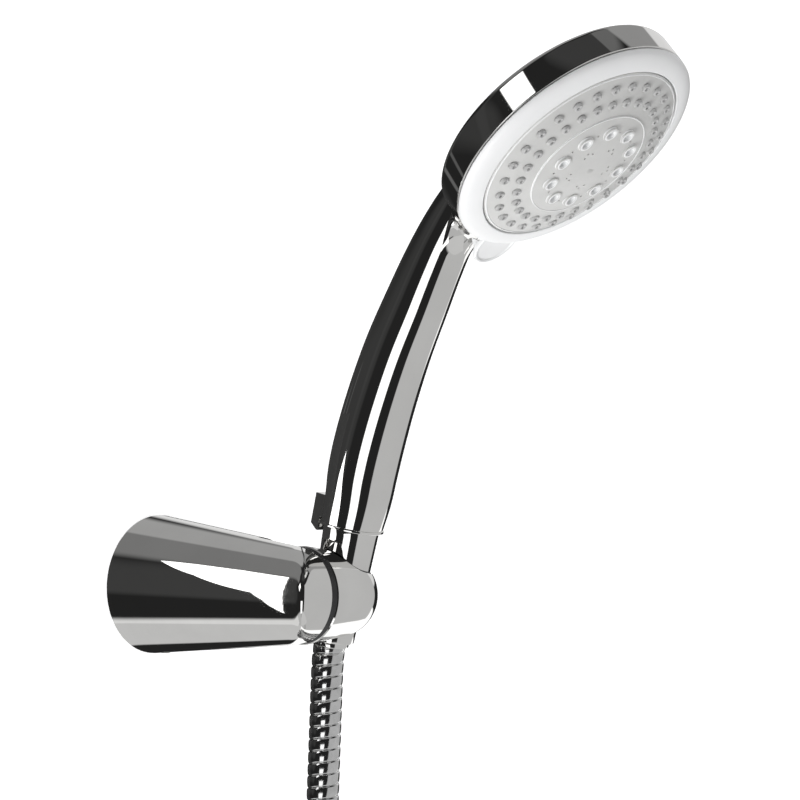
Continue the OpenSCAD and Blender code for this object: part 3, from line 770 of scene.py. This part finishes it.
# Stage: wall, floor and a pale surround that only the camera sees
def stage_material(name, colour, glow, one_way=False):
    """A matt colour that glows. one_way leaves its back clear."""
    mat, tree, shader = blank(name)
    shader.inputs["Base Color"].default_value = colour
    shader.inputs["Roughness"].default_value = 1.0
    shader.inputs["Specular IOR Level"].default_value = 0.0
    shader.inputs["Emission Color"].default_value = colour
    shader.inputs["Emission Strength"].default_value = glow
    if one_way:
        out = next(n for n in tree.nodes if n.type == "OUTPUT_MATERIAL")
        facing = tree.nodes.new("ShaderNodeNewGeometry")
        clear = tree.nodes.new("ShaderNodeBsdfTransparent")
        mix = tree.nodes.new("ShaderNodeMixShader")
        tree.links.new(facing.outputs["Backfacing"], mix.inputs["Fac"])
        tree.links.new(shader.outputs["BSDF"], mix.inputs[1])
        tree.links.new(clear.outputs["BSDF"], mix.inputs[2])
        tree.links.new(mix.outputs["Shader"], out.inputs["Surface"])
    return mat


def only_camera(obj):
    obj.visible_diffuse = False
    obj.visible_glossy = False
    obj.visible_transmission = False
    obj.visible_shadow = False


low, high = Vector(cad_box[0]), Vector(cad_box[1])
centre = (low + high) / 2
SPAN, FLOOR_DROP, COVE_R = 4.0, 0.42, 0.35


def backdrop():
    """A wall that rounds into a floor."""
    floor_z = low.z - FLOOR_DROP
    line = [(0.0, SPAN), (0.0, floor_z + COVE_R)]
    angles = [math.radians(a) for a in range(10, 90, 10)]
    line += [(COVE_R * (math.cos(a) - 1), floor_z + COVE_R * (1 - math.sin(a))) for a in angles]
    line += [(-COVE_R, floor_z), (-SPAN, floor_z)]
    verts = [(x, y, z) for y, z in line for x in (-SPAN, SPAN)]
    faces = [(2 * i, 2 * i + 1, 2 * i + 3, 2 * i + 2) for i in range(len(line) - 1)]
    return verts, faces


verts, faces = backdrop()
wall_mesh = bpy.data.meshes.new("backdrop")
wall_mesh.from_pydata(verts, [], faces)
wall_mesh.polygons.foreach_set("use_smooth", [True] * len(faces))
wall = bpy.data.objects.new("backdrop", wall_mesh)
bpy.context.scene.collection.objects.link(wall)
if wall_mesh.polygons[0].normal.y > 0:
    wall_mesh.flip_normals()
wall_mesh.materials.append(stage_material("backdrop", (0.93, 0.93, 0.93, 1), 0.75, True))
only_camera(wall)

ball = bmesh.new()
bmesh.ops.create_icosphere(ball, subdivisions=4, radius=9.0)
ball_mesh = bpy.data.meshes.new("surround")
ball.to_mesh(ball_mesh)
ball.free()
surround = bpy.data.objects.new("surround", ball_mesh)
surround.location = centre
bpy.context.scene.collection.objects.link(surround)
surround_material = stage_material("surround", (0.0, 0.0, 0.0, 1), 1.0)
surround_shader = surround_material.node_tree.nodes["Principled BSDF"]
surround_shader.inputs["Emission Color"].default_value = (0.86, 0.86, 0.86, 1)
ball_mesh.materials.append(surround_material)
only_camera(surround)


# Studio light: soft panels in a dark room, by direction
world = bpy.data.worlds.new("studio")
bpy.context.scene.world = world
world.use_nodes = True
tree = world.node_tree
tree.nodes.clear()
coord = tree.nodes.new("ShaderNodeTexCoord")


def math_node(op, *values):
    n = tree.nodes.new("ShaderNodeMath")
    n.operation = op
    for i, v in enumerate(values):
        if isinstance(v, (int, float)):
            n.inputs[i].default_value = v
        else:
            tree.links.new(v, n.inputs[i])
    return n.outputs[0]


def dot(axis):
    n = tree.nodes.new("ShaderNodeVectorMath")
    n.operation = "DOT_PRODUCT"
    n.inputs[1].default_value = axis
    tree.links.new(coord.outputs["Generated"], n.inputs[0])
    return n.outputs["Value"]


def soft_step(value, edge, soft):
    """One below the edge and nothing above it, with a soft change between."""
    m = tree.nodes.new("ShaderNodeMapRange")
    m.interpolation_type = "SMOOTHSTEP"
    m.inputs["From Min"].default_value = edge - soft
    m.inputs["From Max"].default_value = edge + soft
    m.inputs["To Min"].default_value = 1.0
    m.inputs["To Max"].default_value = 0.0
    tree.links.new(value, m.inputs["Value"])
    return m.outputs["Result"]


LEVEL_RIGHT = Vector((CAM_RIGHT.x, CAM_RIGHT.y, 0)).normalized()
LEVEL_BACK = Vector((CAM_BACK.x, CAM_BACK.y, 0)).normalized()
ahead, aside, height = dot(LEVEL_BACK), dot(LEVEL_RIGHT), dot(Z)
bearing = math_node("MULTIPLY", math_node("ARCTAN2", aside, ahead), 180 / math.pi)
rise = math_node("MULTIPLY", math_node("ARCSINE", height), 180 / math.pi)


def offsets(theta, rise_at):
    """How far a direction is from theta, in degrees right of the front, and from rise_at, in height."""
    turn_by = math_node("WRAP", math_node("SUBTRACT", bearing, theta), 180.0, -180.0)
    return turn_by, math_node("SUBTRACT", rise, rise_at)


def panel(theta, rise_at, half_w, half_h, level, soft=2.0):
    turn_by, climb = offsets(theta, rise_at)
    across, along_up = math_node("ABSOLUTE", turn_by), math_node("ABSOLUTE", climb)
    mask = math_node("MULTIPLY", soft_step(across, half_w, soft), soft_step(along_up, half_h, soft))
    return math_node("MULTIPLY", mask, level)


def slanted_panel(theta, rise_at, half_along, half_across, level, soft=2.0):
    """A panel whose sides run at 45 degrees."""
    turn_by, climb = offsets(theta, rise_at)
    along = math_node("ABSOLUTE", math_node("ADD", turn_by, climb))
    across = math_node("ABSOLUTE", math_node("SUBTRACT", climb, turn_by))
    mask = math_node("MULTIPLY", soft_step(along, half_along, soft),
                     soft_step(across, half_across, soft))
    return math_node("MULTIPLY", mask, level)


panels = [
    panel(-14, -30, 14, 20, 1.5, 0.8),
    panel(84, -10, 52, 50, 0.52, 1.5),
    slanted_panel(-48, 28, 16, 10, 1.8, 1.0),
    panel(-156, 57, 30, 23, 0.37, 6.0),
    panel(-96, 56, 38, 21, 0.2, 5.0),
    panel(148, 50, 42, 18, 0.3, 4.0),
    panel(160, 22, 26, 14, 0.75, 2.0),
    panel(95, 70, 26, 8, 0.14, 3.0),
    panel(-118, 3, 58, 14, 0.042, 8.0),
    panel(30, 66, 60, 14, 0.045, 8.0),
    panel(-132, -67, 48, 24, 0.58, 1.5),
    panel(-84, -58, 20, 15, 0.75, 3.0),
    panel(-50, -72, 34, 30, 0.5, 4.0),
    panel(48, -68, 58, 24, 0.6, 3.0),
    panel(158, -50, 25, 36, 1.2, 1.0),
    panel(0, -90, 181, 28, 0.5, 3.0),
    panel(-115, -14, 1.8, 24, 0.1, 0.8),
    panel(-133, -15, 2.6, 24, 0.13, 1.2),
    panel(-76, 12, 8, 26, 0.05, 6.0),
]
ROOM = 0.018
total = ROOM
for p in panels:
    total = math_node("MAXIMUM", total, p)
background = tree.nodes.new("ShaderNodeBackground")
background.inputs["Color"].default_value = (1.0, 1.0, 1.0, 1)
tree.links.new(total, background.inputs["Strength"])
out = tree.nodes.new("ShaderNodeOutputWorld")
tree.links.new(background.outputs["Background"], out.inputs["Surface"])


# A bright card close to the left of the bracket and a dark one that keeps it off the handle,
# both for their mirror images alone
def mirror_card(name, corners, grey, level):
    mesh = bpy.data.meshes.new(name)
    mesh.from_pydata([tuple(c) for c in corners], [], [tuple(range(len(corners)))])
    card = bpy.data.objects.new(name, mesh)
    bpy.context.scene.collection.objects.link(card)
    mesh.materials.append(stage_material(name, (grey, grey, grey, 1), level))
    card.visible_camera = False
    card.visible_diffuse = False
    card.visible_shadow = False
    card.visible_transmission = False


# Outline as (towards the camera, up) from a point beside the cone
card_at = Vector((0, -0.06, 0)) - CAM_RIGHT * 0.05
card_line = [(-0.002, 0.021), (0.012, 0.035), (0.029, 0.05), (0.048, 0.062), (0.055, 0.042),
             (0.0585, 0.025), (0.060, 0.008), (0.0596, -0.0085), (0.057, -0.025),
             (0.0508, -0.046), (0.0515, -0.029), (0.05, -0.009), (0.045, 0.006),
             (0.032, 0.012), (0.016, 0.019)]
mirror_card("bright_card", [card_at + CAM_BACK * b + CAM_UP * u for b, u in card_line], 1.0, 1.6)
mirror_card("dark_card", [Vector((0.0127, y, z)) + CAM_BACK * b
                          for b, y, z in ((-0.008, -0.077, 0.024), (0.009, -0.077, 0.024),
                                          (0.009, -0.09, 0.08), (-0.008, -0.09, 0.08))],
            0.04, 1.0)


# Lamps: they shape the white parts and the wall, and the metal doesn't mirror them
def lamp(name, theta, rise_at, distance, size, power):
    data = bpy.data.lights.new(name, "AREA")
    data.shape = "DISK"
    data.size = size
    data.energy = power
    obj = bpy.data.objects.new(name, data)
    bpy.context.scene.collection.objects.link(obj)
    e, t = math.radians(rise_at), math.radians(theta)
    d = (LEVEL_BACK * math.cos(t) + LEVEL_RIGHT * math.sin(t)) * math.cos(e) + Z * math.sin(e)
    obj.location = centre + d * distance
    obj.rotation_mode = "QUATERNION"
    obj.rotation_quaternion = (-d).to_track_quat("-Z", "Y")
    obj.visible_glossy = False


lamp("key", 50, 50, 1.8, 1.4, 8)
lamp("fill_low", -38, -40, 1.0, 0.7, 9)
lamp("fill_left", -70, 5, 1.2, 0.9, 3.5)
